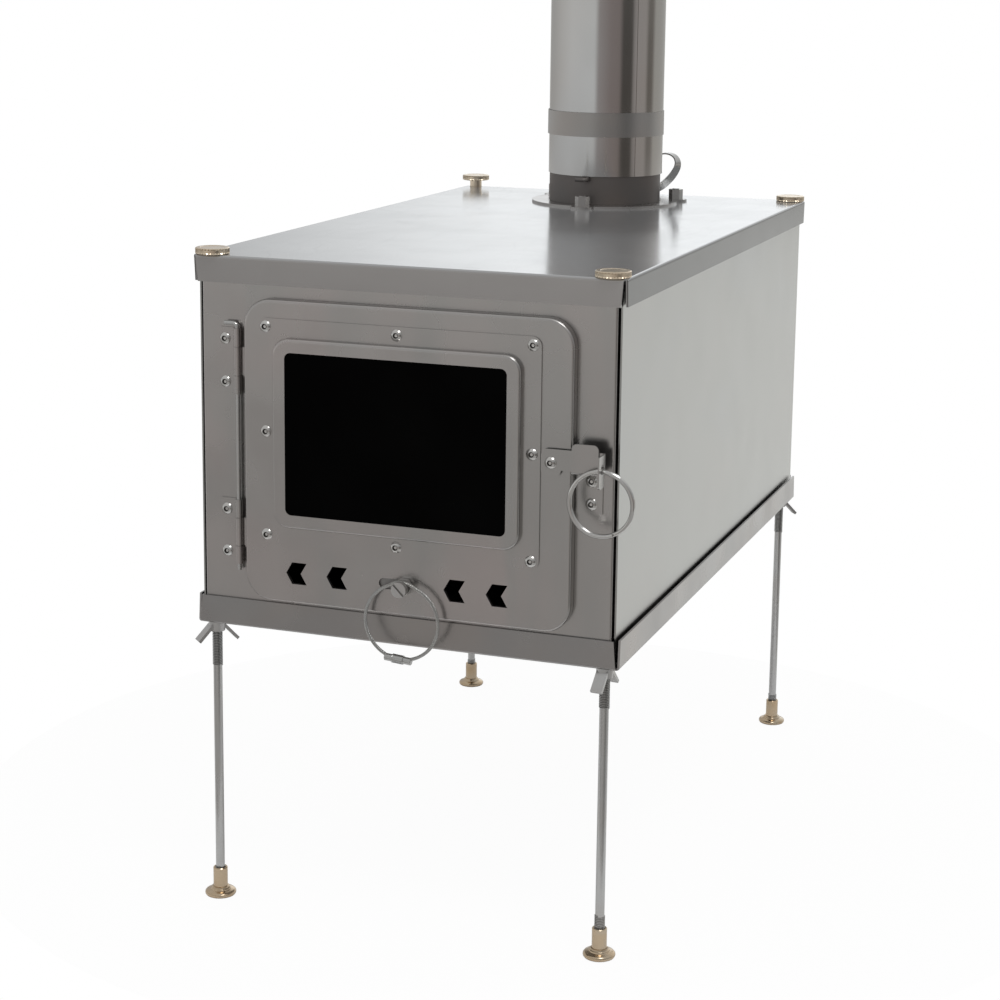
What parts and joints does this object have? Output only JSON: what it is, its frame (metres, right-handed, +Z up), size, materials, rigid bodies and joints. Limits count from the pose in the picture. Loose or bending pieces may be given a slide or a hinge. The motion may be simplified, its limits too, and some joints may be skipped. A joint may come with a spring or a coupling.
{
  "type": "tent wood stove",
  "caption": "Flat-pack sheet-steel tent stove on threaded rod legs, with glazed hinged door, air slide, drop latch with ring, damper collar and flue pipe.",
  "frame": {"origin": "on the floor, midway between the four feet, under the middle of the tray", "axes": "+Z up; +X to the right as one faces the door; -Y out of the door, +Y to the back where the flue stands"},
  "size_m": [0.2217, 0.3802, 0.5035],
  "materials": {
    "sheet_steel": "satin, faintly heat-clouded stainless sheet",
    "lid_steel": "near-mirror stainless sheet",
    "dark_steel": "satin, in shade",
    "grate_steel": "satin",
    "rod_steel": "drawn, bright",
    "bright_steel": "polished",
    "brass": "pale satin brass",
    "glass": "dark clear heat-proof glass",
    "gasket": "woven black glass-fibre tape"
  },
  "bodies": {
    "stove_body": {"bottom_tray": "sheet_steel", "lid_plate": "lid_steel", "front_panel": "sheet_steel", "rear_panel": "sheet_steel", "left_side_panel": "sheet_steel", "right_side_panel": "sheet_steel", "leg_rod_front_left": "rod_steel", "leg_rod_front_right": "rod_steel", "leg_rod_rear_left": "rod_steel", "leg_rod_rear_right": "rod_steel", "flue_flange": "sheet_steel", "flue_collar": "dark_steel", "flue_flange_bolts": "sheet_steel", "flue_flange_nuts": "sheet_steel", "upper_hinge_leaf": "sheet_steel", "lower_hinge_leaf": "sheet_steel", "hinge_pin": "rod_steel", "hinge_screws": "bright_steel", "hinge_nuts": "bright_steel", "latch_keeper": "sheet_steel", "keeper_screws": "bright_steel", "keeper_nuts": "bright_steel"},
    "door": {"door_pan": "sheet_steel", "upper_door_knuckle": "sheet_steel", "lower_door_knuckle": "sheet_steel", "slider_guides": "sheet_steel", "window_frame": "sheet_steel", "window_glass": "glass", "glass_gasket": "gasket", "window_screws": "bright_steel", "window_nuts": "bright_steel", "latch_screw": "bright_steel", "latch_spacer": "bright_steel", "latch_nut": "bright_steel"},
    "latch": {"latch_lever": "sheet_steel"},
    "pull_ring": {"latch_ring": "bright_steel"},
    "air_slide": {"air_slider": "sheet_steel", "slider_screw": "bright_steel", "slider_nuts": "bright_steel"},
    "cable": {"cable_loop": "rod_steel", "cable_barrel": "rod_steel"},
    "damper": {"damper_plate": "dark_steel", "damper_shaft": "dark_steel", "damper_handle": "sheet_steel"},
    "flue": {"flue_pipe": "sheet_steel", "flue_band": "sheet_steel"},
    "grate": {"fire_grate": "grate_steel"},
    "foot_front_left": {"foot_front_left": "brass"},
    "foot_front_right": {"foot_front_right": "brass"},
    "foot_rear_left": {"foot_rear_left": "brass"},
    "foot_rear_right": {"foot_rear_right": "brass"},
    "wing_nut_front_left": {"wing_nut_front_left": "bright_steel"},
    "wing_nut_front_right": {"wing_nut_front_right": "bright_steel"},
    "wing_nut_rear_left": {"wing_nut_rear_left": "bright_steel"},
    "wing_nut_rear_right": {"wing_nut_rear_right": "bright_steel"},
    "thumb_nut_front_left": {"thumb_nut_front_left": "brass"},
    "thumb_nut_front_right": {"thumb_nut_front_right": "brass"},
    "thumb_nut_rear_left": {"thumb_nut_rear_left": "brass"},
    "thumb_nut_rear_right": {"thumb_nut_rear_right": "brass"}
  },
  "joints": [
    {"name": "door_hinge", "type": "hinge", "parent": "stove_body", "child": "door", "pos_m": [-0.0819, -0.182, 0.227], "axis": [0, 0, -1], "range_deg": [0, 120]},
    {"name": "latch_lift", "type": "hinge", "parent": "door", "child": "latch", "pos_m": [0.0734, -0.1865, 0.2338], "axis": [0, -1, 0], "range_deg": [0, 80]},
    {"name": "ring_swing", "type": "hinge", "parent": "latch", "child": "pull_ring", "pos_m": [0.0984, -0.1914, 0.2338], "axis": [-1, 0, 0], "range_deg": [-10, 120]},
    {"name": "air_slide_shut", "type": "slide", "parent": "door", "child": "air_slide", "axis": [-1, 0, 0], "range_m": [0, 0.0104]},
    {"name": "cable_swing", "type": "hinge", "parent": "air_slide", "child": "cable", "pos_m": [0.0037, -0.18965, 0.1697], "axis": [0, -1, 0], "range_deg": [-25, 25]},
    {"name": "damper_turn", "type": "hinge", "parent": "stove_body", "child": "damper", "pos_m": [0, 0.126, 0.3319], "axis": [0, -1, 0], "range_deg": [0, 90]},
    {"name": "flue_lift", "type": "slide", "parent": "stove_body", "child": "flue", "axis": [0, 0, 1], "range_m": [0, 0.05]},
    {"name": "grate_lift", "type": "slide", "parent": "stove_body", "child": "grate", "axis": [0, 0, 1], "range_m": [0, 0.08]},
    {"name": "foot_front_left_turn", "type": "hinge", "parent": "stove_body", "child": "foot_front_left", "pos_m": [-0.0972, -0.1759, 0.006], "axis": [0, 0, 1], "continuous": true},
    {"name": "foot_front_right_turn", "type": "hinge", "parent": "stove_body", "child": "foot_front_right", "pos_m": [0.0972, -0.1759, 0.006], "axis": [0, 0, 1], "continuous": true},
    {"name": "foot_rear_left_turn", "type": "hinge", "parent": "stove_body", "child": "foot_rear_left", "pos_m": [-0.0972, 0.1759, 0.006], "axis": [0, 0, 1], "continuous": true},
    {"name": "foot_rear_right_turn", "type": "hinge", "parent": "stove_body", "child": "foot_rear_right", "pos_m": [0.0972, 0.1759, 0.006], "axis": [0, 0, 1], "continuous": true},
    {"name": "wing_nut_front_left_turn", "type": "hinge", "parent": "stove_body", "child": "wing_nut_front_left", "pos_m": [-0.0972, -0.1759, 0.1365], "axis": [0, 0, 1], "continuous": true},
    {"name": "wing_nut_front_right_turn", "type": "hinge", "parent": "stove_body", "child": "wing_nut_front_right", "pos_m": [0.0972, -0.1759, 0.1365], "axis": [0, 0, 1], "continuous": true},
    {"name": "wing_nut_rear_left_turn", "type": "hinge", "parent": "stove_body", "child": "wing_nut_rear_left", "pos_m": [-0.0972, 0.1759, 0.1365], "axis": [0, 0, 1], "continuous": true},
    {"name": "wing_nut_rear_right_turn", "type": "hinge", "parent": "stove_body", "child": "wing_nut_rear_right", "pos_m": [0.0972, 0.1759, 0.1365], "axis": [0, 0, 1], "continuous": true},
    {"name": "thumb_nut_front_left_turn", "type": "hinge", "parent": "stove_body", "child": "thumb_nut_front_left", "pos_m": [-0.0972, -0.1759, 0.3165], "axis": [0, 0, 1], "continuous": true},
    {"name": "thumb_nut_front_right_turn", "type": "hinge", "parent": "stove_body", "child": "thumb_nut_front_right", "pos_m": [0.0972, -0.1759, 0.3165], "axis": [0, 0, 1], "continuous": true},
    {"name": "thumb_nut_rear_left_turn", "type": "hinge", "parent": "stove_body", "child": "thumb_nut_rear_left", "pos_m": [-0.0972, 0.1759, 0.3165], "axis": [0, 0, 1], "continuous": true},
    {"name": "thumb_nut_rear_right_turn", "type": "hinge", "parent": "stove_body", "child": "thumb_nut_rear_right", "pos_m": [0.0972, 0.1759, 0.3165], "axis": [0, 0, 1], "continuous": true}
  ]
}
